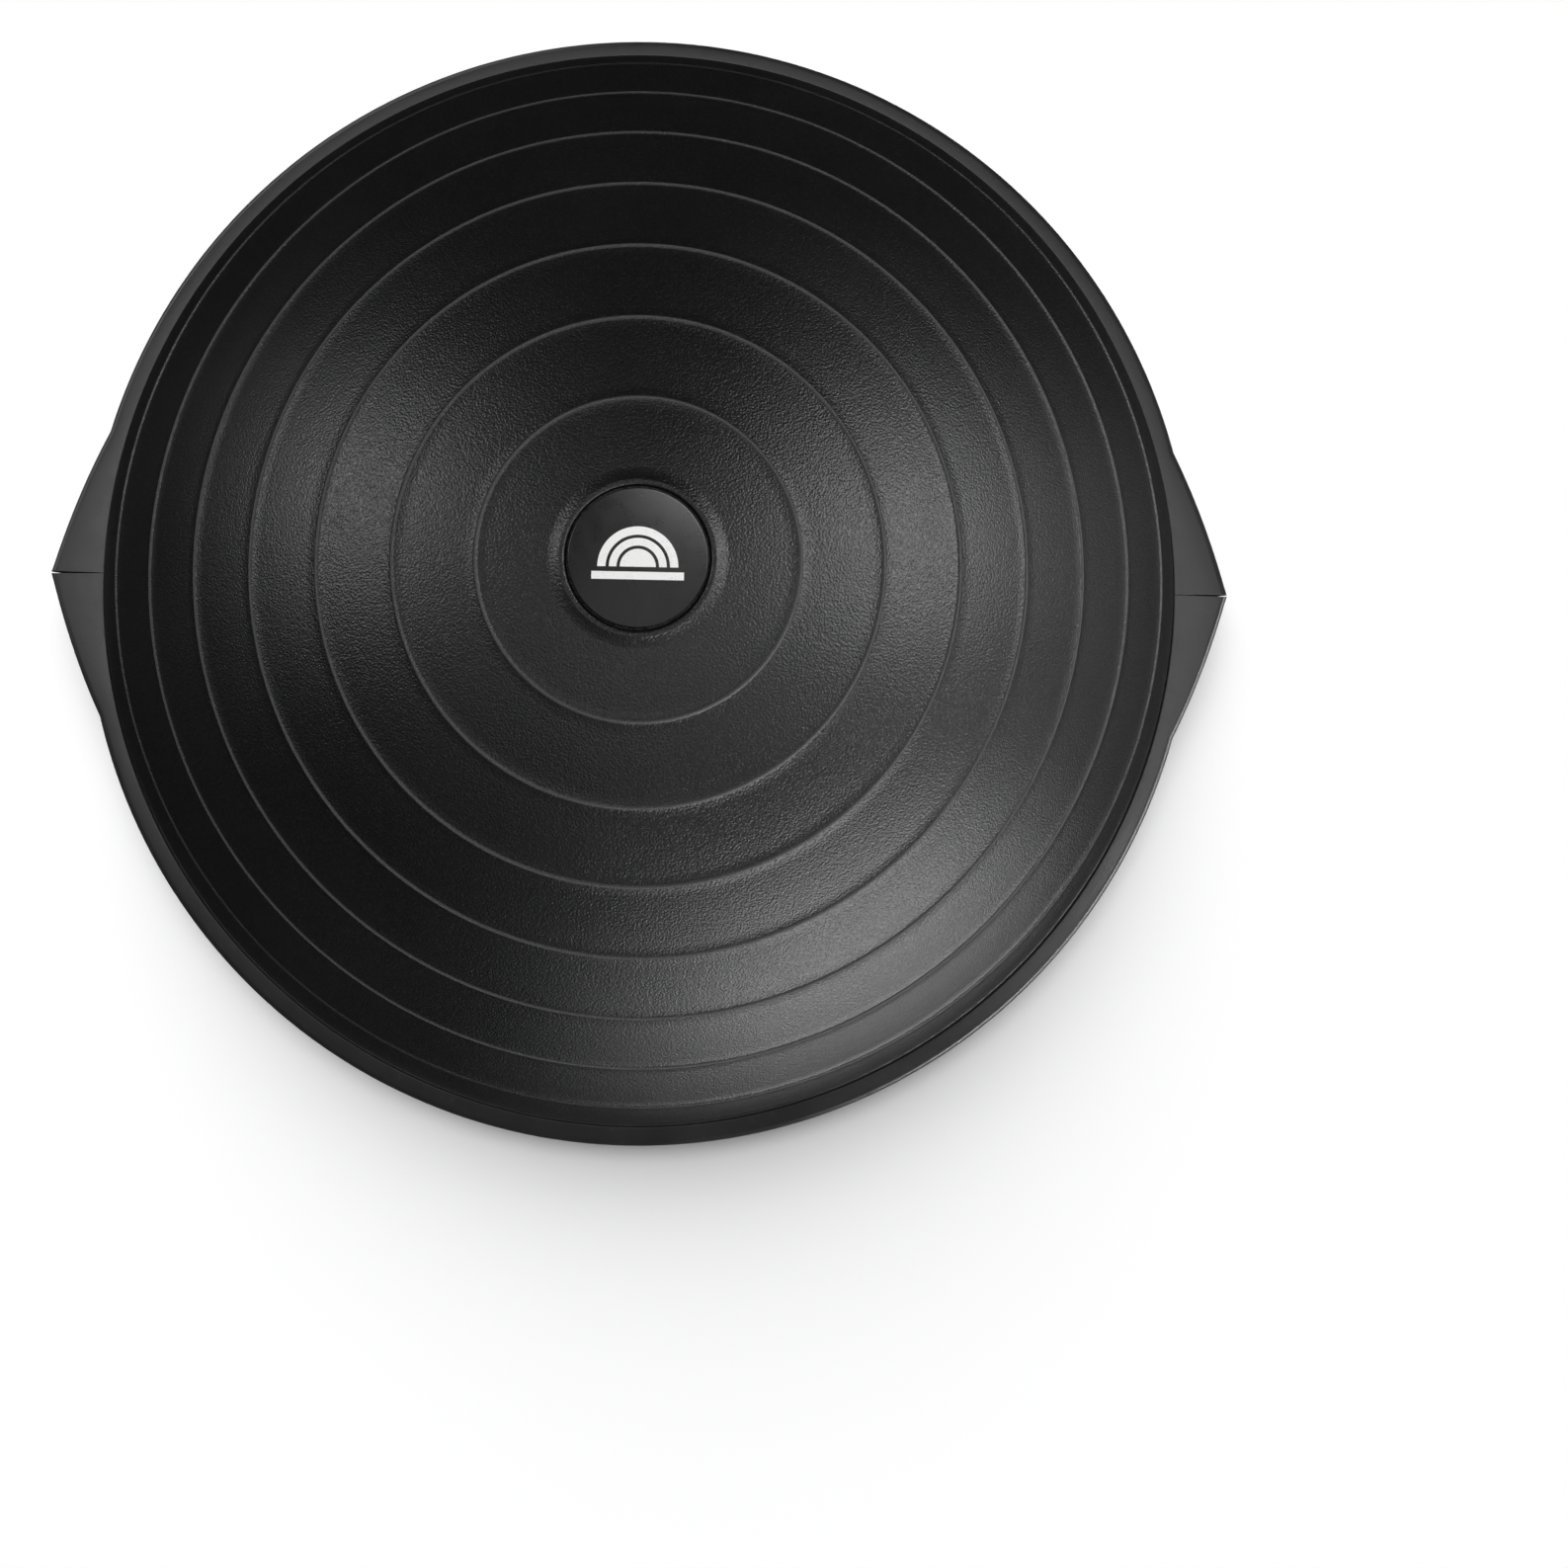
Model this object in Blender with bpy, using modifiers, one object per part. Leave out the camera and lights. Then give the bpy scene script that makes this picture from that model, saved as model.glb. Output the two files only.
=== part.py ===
"""Balance dome trainer: an inflated dome on a rigid round platform, clamped by two half rims.

The two half rims are bolted together at the pointed ears on the X axis, and each ear has a
finger recess on either side of the bolt. The underside carries a tread mat and an air valve,
and eight rubber pads under the rims stand on the floor. Metres, +Z up, origin at the centre
of the footprint.
"""

import math

import bmesh
import bpy
from mathutils import Matrix, Vector

# Fits
GAP = 0.0003  # clearance between pieces that touch
SEAM = 0.0004  # between the two half rims

# Turning resolution, in segments for a full turn
RIM_SEGMENTS = 96
ROUND_SEGMENTS = 48
SMALL_SEGMENTS = 24

# Rim
RIM_RADIUS = 0.325
RIM_BOTTOM = 0.0008
RIM_WALL_TOP = 0.0275  # where the upright outer wall starts to round over
RIM_SHOULDER_RADIUS = 0.3195
RIM_SHOULDER_HEIGHT = 0.0358
RIM_TOE_ROUND = 0.0022
LIP_INNER_RADIUS = 0.3064
LIP_HEIGHT = 0.0385
GROOVE_INNER_RADIUS = 0.3100
GROOVE_OUTER_RADIUS = 0.3120
GROOVE_HEIGHT = 0.0350
CHANNEL_RADIUS = 0.317  # depth of the channel that grips the platform and the dome's flange
CHANNEL_TOP = 0.0265
CHANNEL_BOTTOM = 0.0054
UNDERLAP_RADIUS = 0.296  # how far the rim reaches under the platform

# Ears and their finger recesses
EAR_RADIUS = 0.3456
EAR_HALF_ANGLE = math.radians(15)
EAR_BULGE = 0.0022
END_WALL = 0.006
RECESS_LENGTH = 0.080
RECESS_DEPTH = 0.0125
RECESS_HALF_HEIGHT = 0.0122
RECESS_CENTRE_HEIGHT = 0.0162
WELL_INNER_RADIUS = 0.3225  # back of the deeper pocket around the bolt
WELL_LENGTH = 0.020
WELL_BOTTOM = 0.0048
WELL_TOP = 0.0274

# Platform
PLATFORM_RADIUS = CHANNEL_RADIUS - 0.0006
PLATFORM_EDGE_TOP = 0.0157
PLATE_TOP = 0.0080
PLATE_BOTTOM = 0.0042
EDGE_INNER_RADIUS = 0.292
STEP_RADIUS = UNDERLAP_RADIUS - 0.0006
RECESS_WALL_RADIUS = 0.288
PLATFORM_LOW = 0.0016
RIB_TOP = 0.0150
RIB_COUNT = 12
RIB_WIDTH = 0.004
HUB_INNER_RADIUS = 0.026
HUB_OUTER_RADIUS = 0.032
HOOP_INNER_RADIUS = 0.158
HOOP_OUTER_RADIUS = 0.163
VALVE_HOLE_RADIUS = 0.0093

# Tread mat
MAT_OUTER_RADIUS = RECESS_WALL_RADIUS - 0.0006
MAT_INNER_RADIUS = 0.016
MAT_TOP = PLATE_BOTTOM - GAP
MAT_BOTTOM = 0.0020
TREAD_LOW = 0.0012
TREAD_WIDTH = 0.004
TREAD_SPACING = 0.060
TREAD_COUNT = 4
FIRST_TREAD_RADIUS = 0.070

# Dome
CROWN_HEIGHT = 0.209
CROWN_ARC = 0.3935  # radius of the wide arc over the top; a smaller arc turns down at the side
SIDE_RADIUS = 0.3064  # where the side arc would stand upright, hidden in the rim
SIDE_HEIGHT = 0.0255
FOOT_HEIGHT = 0.040  # where the dome goes down into the rim
DOME_WALL = 0.0035
CROWN_STEPS = 10
SIDE_STEPS = 5
NECK_RADIUS = 0.3045  # inside the rim's lip
FLANGE_RADIUS = CHANNEL_RADIUS - 0.0008
FLANGE_TOE_RADIUS = 0.296
FLANGE_TOP = CHANNEL_TOP - GAP
FLANGE_BOTTOM = PLATFORM_EDGE_TOP + GAP
FLANGE_TOE_HEIGHT = 0.0190

# Crown badge and its seat
BADGE_RADIUS = 0.0305
BADGE_THICKNESS = 0.0022
SEAT_RADIUS = 0.0318
SEAT_HEIGHT = CROWN_HEIGHT - 0.0022
SEAT_LIP_HEIGHT = CROWN_HEIGHT + 0.0006
SEAT_LIP_RADIUS = 0.0345
SEAT_FOOT_RADIUS = 0.0380

# Air valve
VALVE_BORE = 0.0049
VALVE_BARREL = 0.0089
VALVE_TOP = 0.0104
VALVE_TOP_FLANGE = 0.012
VALVE_LOW_FLANGE = 0.014
VALVE_LOW = 0.0025
PLUG_STEM = 0.0045
PLUG_TIP = 0.0036
PLUG_TOP = 0.0100
PLUG_HEAD = 0.010
PLUG_LOW = 0.0009
PLUG_HEAD_ROUND = 0.0005

# Clamp fasteners, M6
CLAMP_RADIUS = 0.333  # from the dome's axis to the bolt's
CLAMP_HEIGHT = 0.0165
BOLT_RADIUS = 0.003
BOLT_HOLE_RADIUS = 0.0034
BOLT_TIP = 0.0175
HEX_RADIUS = 0.0100 / math.sqrt(3)  # 10 mm across the flats
HEAD_HEIGHT = 0.0042
WASHER_RADIUS = 0.0062
WASHER_THICKNESS = 0.0014
NUT_HEX_HEIGHT = 0.0050
NUT_COLLAR_RADIUS = 0.0046
NUT_HEIGHT = 0.0064

# Floor pads
PAD_COUNT = 8
PAD_RADIUS = 0.3095
PAD_LENGTH = 0.034
PAD_WIDTH = 0.013
PAD_HEIGHT = 0.0023
PAD_CORNER = 0.004


def clear_scene():
    for obj in list(bpy.data.objects):
        bpy.data.objects.remove(obj, do_unlink=True)


def new_collection(name):
    collection = bpy.data.collections.new(name)
    bpy.context.scene.collection.children.link(collection)
    return collection


def material(name, colour, roughness, metallic=0.0):
    made = bpy.data.materials.new(name)
    made.use_nodes = True
    shader = made.node_tree.nodes["Principled BSDF"]
    shader.inputs["Base Color"].default_value = (*colour, 1.0)
    shader.inputs["Roughness"].default_value = roughness
    shader.inputs["Metallic"].default_value = metallic
    return made


def add_object(name, mesh, collection, finish=None):
    obj = bpy.data.objects.new(name, mesh)
    collection.objects.link(obj)
    if finish:
        mesh.materials.append(finish)
    return obj


def mesh_from(bm, name):
    mesh = bpy.data.meshes.new(name)
    bm.to_mesh(mesh)
    bm.free()
    return mesh


def smooth(obj):
    for face in obj.data.polygons:
        face.use_smooth = True


def add_cutter(name, mesh):
    cutter = add_object(name, mesh, CUTTERS)
    cutter.hide_render = True
    cutter.display_type = "WIRE"
    return cutter


def boolean(obj, other, operation):
    modifier = obj.modifiers.new(other.name, "BOOLEAN")
    modifier.operation = operation
    modifier.object = other
    modifier.solver = "EXACT"


def profile_mesh(name, points, closed):
    """A chain of (radius, height) points in the XZ plane, ready to be turned about Z."""
    bm = bmesh.new()
    corners = [bm.verts.new((radius, 0, height)) for radius, height in points]
    for first, second in zip(corners, corners[1:]):
        bm.edges.new((first, second))
    if closed:
        bm.edges.new((corners[-1], corners[0]))
    return mesh_from(bm, name)


def turned(name, points, collection, finish=None, segments=ROUND_SEGMENTS, closed=False, angle=math.tau):
    """A turned piece. Its points run down the outer side, then up the inner side."""
    obj = add_object(name, profile_mesh(name, points, closed), collection, finish)
    screw = obj.modifiers.new("Turn", "SCREW")
    screw.angle = angle
    screw.steps = round(segments * angle / math.tau)
    screw.render_steps = screw.steps
    screw.use_merge_vertices = angle == math.tau
    screw.merge_threshold = 0.00001
    screw.use_smooth_shade = True
    return obj


def cylinder_mesh(name, radius, low, high, segments=SMALL_SEGMENTS):
    bm = bmesh.new()
    place = Matrix.Translation((0, 0, (low + high) / 2))
    bmesh.ops.create_cone(
        bm, cap_ends=True, segments=segments, radius1=radius, radius2=radius, depth=high - low, matrix=place
    )
    return mesh_from(bm, name)


def box_mesh(name, low, high):
    low, high = Vector(low), Vector(high)
    bm = bmesh.new()
    place = Matrix.Translation((low + high) / 2) @ Matrix.Diagonal((*(high - low), 1))
    bmesh.ops.create_cube(bm, size=1, matrix=place)
    return mesh_from(bm, name)


# Dome


def dome_profile(inset, crown_steps, side_steps):
    """Points from near the crown down to the rim, on the face that lies inset inside the dome."""
    rise = CROWN_HEIGHT - SIDE_HEIGHT
    side_arc = (CROWN_ARC**2 - (CROWN_ARC - rise) ** 2 - SIDE_RADIUS**2) / (2 * (CROWN_ARC - SIDE_RADIUS))
    side_centre = SIDE_RADIUS - side_arc
    turn = math.atan2(side_centre, CROWN_ARC - rise)
    last = math.acos((FOOT_HEIGHT - SIDE_HEIGHT) / side_arc)
    points = []
    for step in range(1, crown_steps + 1):
        angle = turn * step / crown_steps
        reach = CROWN_ARC - inset
        points.append((reach * math.sin(angle), CROWN_HEIGHT - CROWN_ARC + reach * math.cos(angle)))
    for step in range(1, side_steps + 1):
        angle = turn + (last - turn) * step / side_steps
        reach = side_arc - inset
        points.append((side_centre + reach * math.sin(angle), SIDE_HEIGHT + reach * math.cos(angle)))
    return points


def make_dome(collection, finish):
    foot_height = CROWN_HEIGHT - CROWN_ARC + math.sqrt(CROWN_ARC**2 - SEAT_FOOT_RADIUS**2)
    outer = [(0, SEAT_HEIGHT), (SEAT_RADIUS, SEAT_HEIGHT), (SEAT_RADIUS, SEAT_LIP_HEIGHT)]
    outer += [(SEAT_LIP_RADIUS, SEAT_LIP_HEIGHT), (SEAT_FOOT_RADIUS, foot_height)]
    outer += [(r, z) for r, z in dome_profile(0, CROWN_STEPS, SIDE_STEPS) if r > SEAT_FOOT_RADIUS]
    flange = [(NECK_RADIUS, LIP_HEIGHT - 0.0035), (NECK_RADIUS, FLANGE_TOP), (FLANGE_RADIUS, FLANGE_TOP)]
    flange += [(FLANGE_RADIUS, FLANGE_BOTTOM), (FLANGE_TOE_RADIUS, FLANGE_BOTTOM)]
    neck = NECK_RADIUS - DOME_WALL
    flange += [(FLANGE_TOE_RADIUS, FLANGE_TOE_HEIGHT), (neck, FLANGE_TOE_HEIGHT)]
    inner = list(reversed(dome_profile(DOME_WALL, CROWN_STEPS // 2, SIDE_STEPS - 2)))
    thin = SEAT_HEIGHT - DOME_WALL
    inner = [(r, z) for r, z in inner if z < thin] + [(0, thin)]
    return turned("dome_bladder", outer + flange + inner, collection, finish)


def make_badge(collection, finish):
    low = SEAT_HEIGHT + GAP
    top = low + BADGE_THICKNESS
    edge = BADGE_RADIUS - 0.0008
    points = [(0, top), (edge, top - 0.0003), (BADGE_RADIUS, top - 0.0011), (BADGE_RADIUS, low), (0, low)]
    return turned("crown_badge", points, collection, finish)


# Rim


def rim_section():
    """The half rim's section: lip, groove, rounded shoulder, upright wall, underlap, channel."""
    lip = [(LIP_INNER_RADIUS, LIP_HEIGHT - 0.0014), (LIP_INNER_RADIUS + 0.001, LIP_HEIGHT)]
    lip += [(GROOVE_INNER_RADIUS - 0.0006, LIP_HEIGHT - 0.0002)]
    groove = [(GROOVE_INNER_RADIUS, GROOVE_HEIGHT), (GROOVE_OUTER_RADIUS - 0.0006, GROOVE_HEIGHT)]
    groove += [(GROOVE_OUTER_RADIUS, RIM_SHOULDER_HEIGHT + 0.0004)]
    across = RIM_RADIUS - RIM_SHOULDER_RADIUS
    down = RIM_SHOULDER_HEIGHT - RIM_WALL_TOP
    shoulder = []
    for step in range(4):
        turn = math.radians(30 * step)
        radius = RIM_SHOULDER_RADIUS + across * math.sin(turn)
        shoulder.append((radius, RIM_WALL_TOP + down * math.cos(turn)))
    toe = [(RIM_RADIUS, RIM_BOTTOM + RIM_TOE_ROUND), (RIM_RADIUS - RIM_TOE_ROUND, RIM_BOTTOM)]
    under = [(UNDERLAP_RADIUS, RIM_BOTTOM), (UNDERLAP_RADIUS, CHANNEL_BOTTOM)]
    channel = [(CHANNEL_RADIUS, CHANNEL_BOTTOM), (CHANNEL_RADIUS, CHANNEL_TOP)]
    return lip + groove + shoulder + toe + under + channel + [(LIP_INNER_RADIUS, CHANNEL_TOP)]


def ear_chord():
    """The ear's apex and root, as points in plan on the +X, +Y side."""
    apex = Vector((EAR_RADIUS, 0))
    root = RIM_RADIUS * Vector((math.cos(EAR_HALF_ANGLE), math.sin(EAR_HALF_ANGLE)))
    return apex, root


def ear_reach(angle):
    """How far the ear stands out past the round rim, at an angle from its apex."""
    if angle >= EAR_HALF_ANGLE:
        return 0.0
    apex, root = ear_chord()
    along = (root - apex).normalized()
    normal = Vector((along.y, -along.x))
    facing = math.atan2(normal.y, normal.x)
    chord_radius = apex.dot(normal) / math.cos(angle - facing)
    bulge = EAR_BULGE * (1 - (2 * angle / EAR_HALF_ANGLE - 1) ** 2)
    return chord_radius + bulge - RIM_RADIUS


def shape_half(bm):
    """Closes the turned half's two ends, draws the ears out and opens the seam."""
    edges = [edge for edge in bm.edges if edge.is_boundary]
    caps = bmesh.ops.holes_fill(bm, edges=edges, sides=0)["faces"]
    bmesh.ops.triangulate(bm, faces=caps)
    for vert in bm.verts:
        radius = math.hypot(vert.co.x, vert.co.y)
        angle = math.atan2(vert.co.y, abs(vert.co.x))
        if radius > (CHANNEL_RADIUS + RIM_SHOULDER_RADIUS) / 2:
            stretch = 1 + ear_reach(angle) / RIM_RADIUS
            vert.co.x *= stretch
            vert.co.y *= stretch
        if abs(vert.co.y) < GAP:
            vert.co.y = SEAM / 2
    bmesh.ops.recalc_face_normals(bm, faces=bm.faces)


def make_half_rim(name, collection, finish, turn):
    """A half rim: the +Y half for turn 0, and the same moulding turned round for pi."""
    half = turned("half_section", rim_section(), collection, None, RIM_SEGMENTS, True, math.pi)
    evaluated = half.evaluated_get(bpy.context.evaluated_depsgraph_get())
    mesh = bpy.data.meshes.new_from_object(evaluated)
    bpy.data.objects.remove(half)
    bm = bmesh.new()
    bm.from_mesh(mesh)
    shape_half(bm)
    bmesh.ops.rotate(bm, verts=bm.verts, matrix=Matrix.Rotation(turn, 3, "Z"))
    bm.to_mesh(mesh)
    bm.free()
    mesh.name = name
    return add_object(name, mesh, collection, finish)


def recess_mesh(side_x, side_y):
    """Half an ellipsoid laid along an ear's face, cut off at the end wall by the bolt."""
    apex, root = ear_chord()
    along = (root - apex).normalized()
    start = apex + along * (END_WALL / along.y)
    facing = math.atan2(along.y, along.x)
    place = Matrix.Translation((start.x, start.y, RECESS_CENTRE_HEIGHT))
    place @= Matrix.Rotation(facing, 4, "Z") @ Matrix.Rotation(math.pi / 2, 4, "Y")
    place @= Matrix.Diagonal((RECESS_HALF_HEIGHT, RECESS_DEPTH, RECESS_LENGTH, 1))
    bm = bmesh.new()
    bmesh.ops.create_uvsphere(bm, u_segments=24, v_segments=16, radius=1, matrix=place)
    geometry = bm.verts[:] + bm.edges[:] + bm.faces[:]
    bmesh.ops.bisect_plane(
        bm, geom=geometry, plane_co=(0, END_WALL, 0), plane_no=(0, 1, 0), clear_inner=True
    )
    bmesh.ops.holes_fill(bm, edges=[edge for edge in bm.edges if edge.is_boundary], sides=0)
    bmesh.ops.scale(bm, verts=bm.verts, vec=(side_x, side_y, 1))
    bmesh.ops.recalc_face_normals(bm, faces=bm.faces)
    return mesh_from(bm, "recess")


def well_mesh(side_x, side_y):
    """The deeper square pocket around the bolt's end, open to the ear's face."""
    xs = sorted((side_x * WELL_INNER_RADIUS, side_x * (EAR_RADIUS + 0.01)))
    ys = sorted((side_y * END_WALL, side_y * (END_WALL + WELL_LENGTH)))
    return box_mesh("well", (xs[0], ys[0], WELL_BOTTOM), (xs[1], ys[1], WELL_TOP))


def cut_recesses(half, side_y):
    for side_x in (1, -1):
        boolean(half, add_cutter("recess_cutter", recess_mesh(side_x, side_y)), "DIFFERENCE")
        boolean(half, add_cutter("well_cutter", well_mesh(side_x, side_y)), "DIFFERENCE")


def cut_bolt_holes(halves):
    for side_x in (1, -1):
        reach = END_WALL + 0.002
        hole = add_cutter("bolt_hole_cutter", cylinder_mesh("hole", BOLT_HOLE_RADIUS, -reach, reach))
        hole.location = (side_x * CLAMP_RADIUS, 0, CLAMP_HEIGHT)
        hole.rotation_euler.x = math.pi / 2
        for half in halves:
            boolean(half, hole, "DIFFERENCE")


# Floor pads


def pad_mesh(name, length, width, low, high, corner):
    """A flat pad with rounded corners, long across the radius it sits on."""
    bm = bmesh.new()
    place = Matrix.Translation((0, 0, (low + high) / 2)) @ Matrix.Diagonal((width, length, high - low, 1))
    bmesh.ops.create_cube(bm, size=1, matrix=place)
    upright = [edge for edge in bm.edges if abs(edge.verts[0].co.z - edge.verts[1].co.z) > (high - low) / 2]
    bmesh.ops.bevel(bm, geom=upright, offset=corner, segments=3, profile=0.5, affect="EDGES")
    return mesh_from(bm, name)


def make_pads(collection, finish, halves):
    for index in range(PAD_COUNT):
        angle = math.tau * (index + 0.5) / PAD_COUNT
        place = (PAD_RADIUS * math.cos(angle), PAD_RADIUS * math.sin(angle), 0)
        name = f"foot_pad_{index + 1}"
        mesh = pad_mesh(name, PAD_LENGTH, PAD_WIDTH, 0, PAD_HEIGHT, PAD_CORNER)
        pad = add_object(name, mesh, collection, finish)
        length, width = PAD_LENGTH + 2 * GAP, PAD_WIDTH + 2 * GAP
        hollow = pad_mesh("pocket", length, width, -0.002, PAD_HEIGHT + GAP, PAD_CORNER)
        pocket = add_cutter("pad_pocket", hollow)
        for obj in (pad, pocket):
            obj.location = place
            obj.rotation_euler.z = angle
        boolean(halves[0] if place[1] > 0 else halves[1], pocket, "DIFFERENCE")


# Platform and tread mat


def make_platform(collection, finish):
    hub = [(VALVE_HOLE_RADIUS, PLATE_TOP), (HUB_INNER_RADIUS, PLATE_TOP), (HUB_INNER_RADIUS, RIB_TOP)]
    hub += [(HUB_OUTER_RADIUS, RIB_TOP), (HUB_OUTER_RADIUS, PLATE_TOP)]
    hoop = [(HOOP_INNER_RADIUS, PLATE_TOP), (HOOP_INNER_RADIUS, RIB_TOP)]
    hoop += [(HOOP_OUTER_RADIUS, RIB_TOP), (HOOP_OUTER_RADIUS, PLATE_TOP)]
    edge = [(EDGE_INNER_RADIUS, PLATE_TOP), (EDGE_INNER_RADIUS, PLATFORM_EDGE_TOP)]
    edge += [(PLATFORM_RADIUS, PLATFORM_EDGE_TOP), (PLATFORM_RADIUS, CHANNEL_BOTTOM + GAP)]
    edge += [(STEP_RADIUS, CHANNEL_BOTTOM + GAP), (STEP_RADIUS, PLATFORM_LOW)]
    under = [(RECESS_WALL_RADIUS, PLATFORM_LOW), (RECESS_WALL_RADIUS, PLATE_BOTTOM)]
    under += [(VALVE_HOLE_RADIUS, PLATE_BOTTOM)]
    platform = turned("platform", hub + hoop + edge + under, collection, finish, closed=True)
    for index in range(RIB_COUNT):
        low = (HUB_OUTER_RADIUS - 0.003, -RIB_WIDTH / 2, PLATE_TOP - 0.002)
        high = (EDGE_INNER_RADIUS + 0.003, RIB_WIDTH / 2, RIB_TOP - 0.0005)
        rib = add_cutter("rib", box_mesh("rib", low, high))
        rib.rotation_euler.z = math.tau * (index + 0.5) / RIB_COUNT
        boolean(platform, rib, "UNION")
    return platform


def make_mat(collection, finish):
    points = [(MAT_INNER_RADIUS, MAT_TOP), (MAT_OUTER_RADIUS, MAT_TOP), (MAT_OUTER_RADIUS, MAT_BOTTOM)]
    for index in reversed(range(TREAD_COUNT)):
        middle = FIRST_TREAD_RADIUS + TREAD_SPACING * index
        points += [(middle + TREAD_WIDTH / 2, MAT_BOTTOM), (middle + TREAD_WIDTH / 4, TREAD_LOW)]
        points += [(middle - TREAD_WIDTH / 4, TREAD_LOW), (middle - TREAD_WIDTH / 2, MAT_BOTTOM)]
    points += [(MAT_INNER_RADIUS, MAT_BOTTOM)]
    return turned("deck_mat", points, collection, finish, closed=True)


# Air valve


def make_valve(collection, rubber, plastic):
    above, below = PLATE_TOP + GAP, PLATE_BOTTOM - GAP
    top_flange = [(VALVE_BORE, VALVE_TOP), (VALVE_TOP_FLANGE, VALVE_TOP), (VALVE_TOP_FLANGE, above)]
    barrel = [(VALVE_BARREL, above), (VALVE_BARREL, below)]
    low_flange = [(VALVE_LOW_FLANGE, below), (VALVE_LOW_FLANGE, VALVE_LOW), (VALVE_BORE, VALVE_LOW)]
    turned("valve_seat", top_flange + barrel + low_flange, collection, rubber, SMALL_SEGMENTS, True)
    head_top = VALVE_LOW - GAP
    stem = [(0, PLUG_TOP), (PLUG_TIP, PLUG_TOP), (PLUG_STEM, PLUG_TOP - 0.0015), (PLUG_STEM, head_top)]
    head = [(PLUG_HEAD - PLUG_HEAD_ROUND, head_top), (PLUG_HEAD, head_top - PLUG_HEAD_ROUND)]
    head += [(PLUG_HEAD, PLUG_LOW + PLUG_HEAD_ROUND), (PLUG_HEAD - PLUG_HEAD_ROUND, PLUG_LOW), (0, PLUG_LOW)]
    turned("valve_plug", stem + head, collection, plastic, SMALL_SEGMENTS)


# Clamp fasteners, built along their own +Z and laid along Y by the empty they hang on


def make_bolt(name, collection, finish):
    seat = END_WALL + WASHER_THICKNESS + 2 * GAP
    bolt = add_object(name, cylinder_mesh(name, HEX_RADIUS, seat, seat + HEAD_HEIGHT, 6), collection, finish)
    shank = add_cutter("shank", cylinder_mesh("shank", BOLT_RADIUS, -BOLT_TIP, seat + 0.001))
    boolean(bolt, shank, "UNION")
    return bolt, shank


def make_washer(name, collection, finish, side):
    heights = sorted((side * (END_WALL + GAP), side * (END_WALL + GAP + WASHER_THICKNESS)))
    low, high = heights
    points = [(BOLT_HOLE_RADIUS, high), (WASHER_RADIUS, high), (WASHER_RADIUS, low), (BOLT_HOLE_RADIUS, low)]
    return turned(name, points, collection, finish, SMALL_SEGMENTS, True)


def make_nut(name, collection, finish):
    seat = -(END_WALL + WASHER_THICKNESS + 2 * GAP)
    low = seat - NUT_HEX_HEIGHT
    nut = add_object(name, cylinder_mesh(name, HEX_RADIUS, low, seat, 6), collection, finish)
    collar = add_cutter("collar", cylinder_mesh("collar", NUT_COLLAR_RADIUS, seat - NUT_HEIGHT, low + 0.001))
    bore = add_cutter("bore", cylinder_mesh("bore", BOLT_HOLE_RADIUS, seat - 0.02, seat + 0.01))
    boolean(nut, collar, "UNION")
    boolean(nut, bore, "DIFFERENCE")
    return nut, collar, bore


def make_clamps(collection, steel):
    for side, turn in (("right", 0), ("left", math.pi)):
        axis = bpy.data.objects.new(f"clamp_axis_{side}", None)
        collection.objects.link(axis)
        axis.location = (math.cos(turn) * CLAMP_RADIUS, 0, CLAMP_HEIGHT)
        axis.rotation_euler = (-math.pi / 2, 0, turn)
        pieces = [*make_bolt(f"clamp_bolt_{side}", collection, steel)]
        pieces += [make_washer(f"head_washer_{side}", collection, steel, 1)]
        pieces += [make_washer(f"nut_washer_{side}", collection, steel, -1)]
        pieces += [*make_nut(f"lock_nut_{side}", collection, steel)]
        for piece in pieces:
            piece.parent = axis


clear_scene()
PARTS = new_collection("balance_dome_trainer")
CUTTERS = new_collection("cutters")

black_rubber = material("dome_pvc", (0.022, 0.022, 0.024), 0.62)
badge_black = material("badge_black", (0.012, 0.012, 0.013), 0.40)
rim_grey = material("rim_plastic", (0.060, 0.060, 0.066), 0.42)
platform_black = material("platform_plastic", (0.030, 0.030, 0.033), 0.55)
mat_rubber = material("mat_rubber", (0.018, 0.018, 0.019), 0.80)
pad_rubber = material("pad_rubber", (0.015, 0.015, 0.016), 0.75)
valve_rubber = material("valve_rubber", (0.020, 0.020, 0.022), 0.60)
plug_plastic = material("plug_plastic", (0.030, 0.030, 0.032), 0.45)
zinc_steel = material("zinc_steel", (0.56, 0.56, 0.57), 0.30, 1.0)

make_dome(PARTS, black_rubber)
make_badge(PARTS, badge_black)
make_platform(PARTS, platform_black)
make_mat(PARTS, mat_rubber)
rims = [
    make_half_rim("rim_half_back", PARTS, rim_grey, 0),
    make_half_rim("rim_half_front", PARTS, rim_grey, math.pi),
]
for rim_half, rim_side in zip(rims, (1, -1)):
    cut_recesses(rim_half, rim_side)
cut_bolt_holes(rims)
make_pads(PARTS, pad_rubber, rims)
make_valve(PARTS, valve_rubber, plug_plastic)
make_clamps(PARTS, zinc_steel)
for part in PARTS.objects:
    if part.type == "MESH":
        smooth(part)
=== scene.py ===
"""The balance dome trainer's looks: finished pieces, materials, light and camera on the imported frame.

Metres, in the CAD's own frame: +Z up, origin at the centre of the footprint. The pieces below
keep the CAD's sizes and add what it leaves out, such as the dome's raised rings and grain,
moulded roundings, screw threads and a badge.
"""

import math

import bmesh
import bpy
from mathutils import Matrix, Vector


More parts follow.
